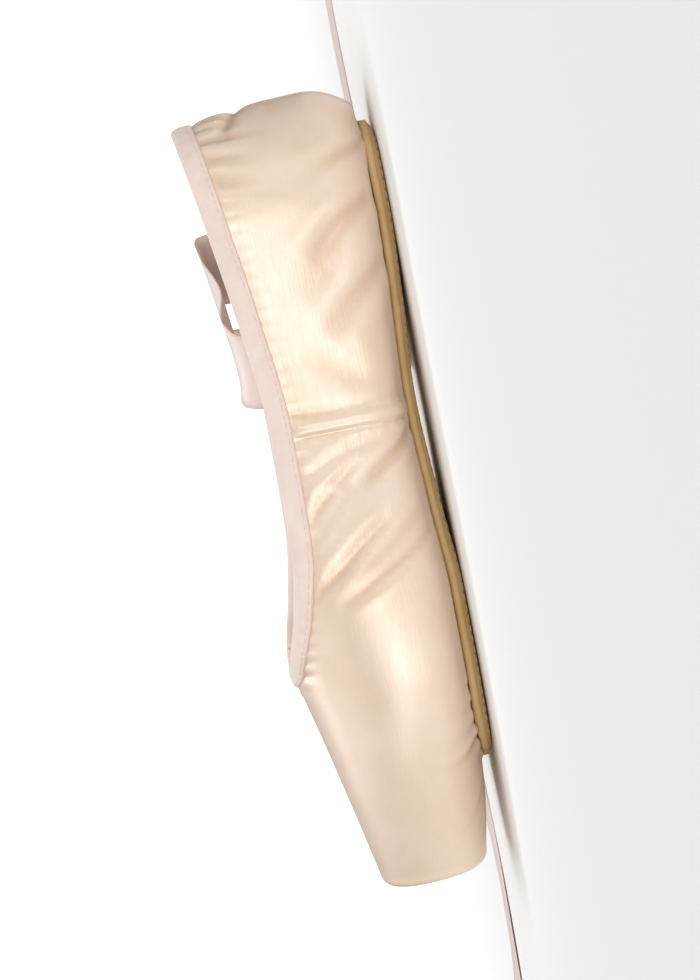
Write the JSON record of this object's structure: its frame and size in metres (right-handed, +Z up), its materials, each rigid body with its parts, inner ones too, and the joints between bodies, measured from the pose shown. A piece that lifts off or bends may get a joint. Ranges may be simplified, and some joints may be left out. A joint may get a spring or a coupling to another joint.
{
  "type": "pointe shoe",
  "caption": "Satin pointe shoe with a stiff boxed toe and flat platform, bound topline with a drawstring, raised side seams, stitched leather outsole and loose ribbons.",
  "frame": {"origin": "on the floor under the middle of the shoe's length and width, ribbons left out", "axes": "+X to the toe, +Y to the shoe's left, +Z up"},
  "size_m": [0.4736, 0.2003, 0.0597],
  "materials": {
    "satin": "satin",
    "sole_leather": "matte",
    "sock": "matte",
    "tape": "matte",
    "string": "matte",
    "ribbon": "satin"
  },
  "bodies": {
    "root": {"upper": "satin", "outsole": "sole_leather", "insole": "sock", "binding": "tape", "drawstring_knot": "string", "ribbon_left": "ribbon", "ribbon_right": "ribbon"}
  },
  "joints": []
}
